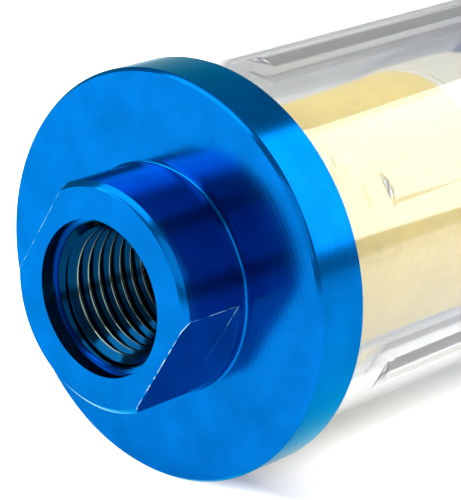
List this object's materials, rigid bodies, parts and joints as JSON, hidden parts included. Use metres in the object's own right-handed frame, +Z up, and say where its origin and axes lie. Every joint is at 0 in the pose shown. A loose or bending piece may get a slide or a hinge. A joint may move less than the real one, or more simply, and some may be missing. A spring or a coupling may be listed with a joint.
{
  "type": "magnetic system filter",
  "caption": "Small in-line filter: two anodised caps on a clear ribbed tube, with a porous element and a magnet core inside, a threaded inlet and a swivel outlet nipple.",
  "frame": {"origin": "centre of the inlet port's mouth, in the plane of the inlet hub's face", "axes": "+Y along the filter's axis from the inlet to the outlet; +Z up, towards the air vent; +X to the right seen from the inlet"},
  "size_m": [0.038, 0.103, 0.0404],
  "materials": {
    "blue_anodised": "turned, then bright blue anodised",
    "clear_polycarbonate": "moulded, water clear",
    "yellow_porous_plastic": "sintered, fine grained",
    "ivory_plastic": "moulded",
    "black_rubber": "moulded, satin",
    "white_silicone": "moulded, satin",
    "turned_brass": "turned",
    "stainless_steel": "turned",
    "plated_magnet": "nickel plated neodymium",
    "soft_iron": "ground",
    "nickel_plated_brass": "turned, nickel plated",
    "white_ptfe": "waxy",
    "spring_steel": "drawn and stamped, bright"
  },
  "bodies": {
    "inlet_head": {"inlet_cap": "blue_anodised", "filter_element": "yellow_porous_plastic", "element_front_gasket": "white_silicone", "element_rear_gasket": "white_silicone", "element_end_cap": "ivory_plastic", "core_spider": "turned_brass", "tie_rod": "stainless_steel", "magnet_sleeve": "stainless_steel", "sleeve_front_plug": "stainless_steel", "sleeve_rear_plug": "stainless_steel", "magnet_1": "plated_magnet", "magnet_2": "plated_magnet", "magnet_3": "plated_magnet", "pole_pieces": "soft_iron", "core_washer": "stainless_steel", "core_nut": "stainless_steel"},
    "tube_gasket": {"inlet_gasket": "black_rubber"},
    "bowl": {"clear_tube": "clear_polycarbonate", "outlet_gasket": "black_rubber", "outlet_cap": "blue_anodised", "thrust_washer": "white_ptfe", "swivel_clip": "spring_steel", "vent_body": "turned_brass", "vent_spring": "spring_steel"},
    "swivel": {"swivel_nipple": "nickel_plated_brass", "swivel_seal": "black_rubber"},
    "vent_button": {"vent_stem": "turned_brass", "vent_seal": "black_rubber"}
  },
  "joints": [
    {"name": "bowl_travel", "type": "slide", "parent": "inlet_head", "child": "tube_gasket", "axis": [0, 1, 0], "range_m": [0, 0.003]},
    {"name": "bowl_turn", "type": "hinge", "parent": "tube_gasket", "child": "bowl", "pos_m": [0, 0.0395, 0], "axis": [0, 1, 0], "range_deg": [0, 720]},
    {"name": "nipple_swivel", "type": "hinge", "parent": "bowl", "child": "swivel", "pos_m": [0, 0.079, 0], "axis": [0, 1, 0], "continuous": true},
    {"name": "vent_press", "type": "slide", "parent": "bowl", "child": "vent_button", "axis": [0, 0, -1], "range_m": [0, 0.0008], "stiffness_N_per_m": 400, "springref_m": -0.001, "deforming": ["vent_spring"]}
  ],
  "couplings": [
    {"joint": "bowl_turn", "follows": "bowl_travel", "rad_per_m": 4188.8}
  ]
}
